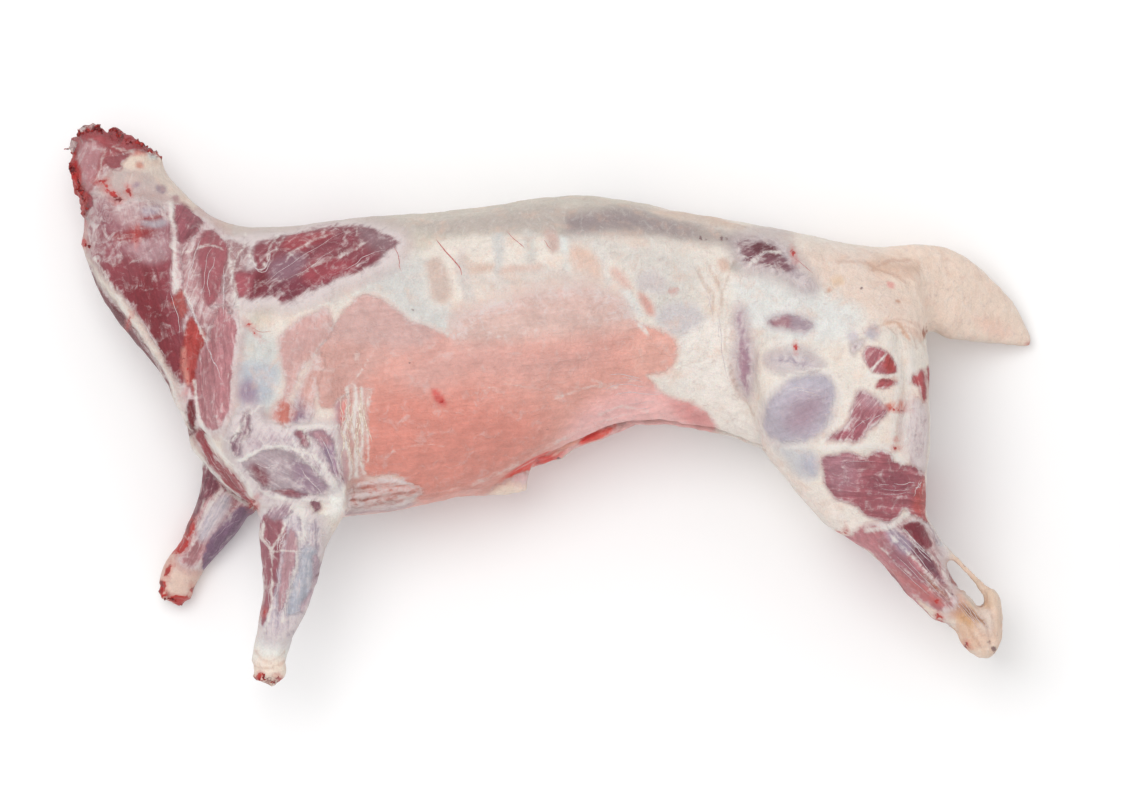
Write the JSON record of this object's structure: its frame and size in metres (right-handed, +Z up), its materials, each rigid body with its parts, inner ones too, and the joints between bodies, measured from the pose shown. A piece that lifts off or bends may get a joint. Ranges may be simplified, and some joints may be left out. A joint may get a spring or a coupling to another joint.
{
  "type": "whole goat carcass",
  "caption": "Whole dressed goat carcass lying on its side: skinned body with neck stump, legs cut at the joints, open belly cut and a broad fat tail.",
  "frame": {"origin": "centre of the bounding box in plan, on the surface that the carcass lies on", "axes": "+X from the neck to the tail, +Y from the belly to the back, +Z up; the animal's left side faces up"},
  "size_m": [0.93, 0.5308, 0.2042],
  "materials": {
    "carcass": "moist raw meat under thin white fascia and fat"
  },
  "bodies": {
    "root": {"carcass": "carcass"}
  },
  "joints": []
}
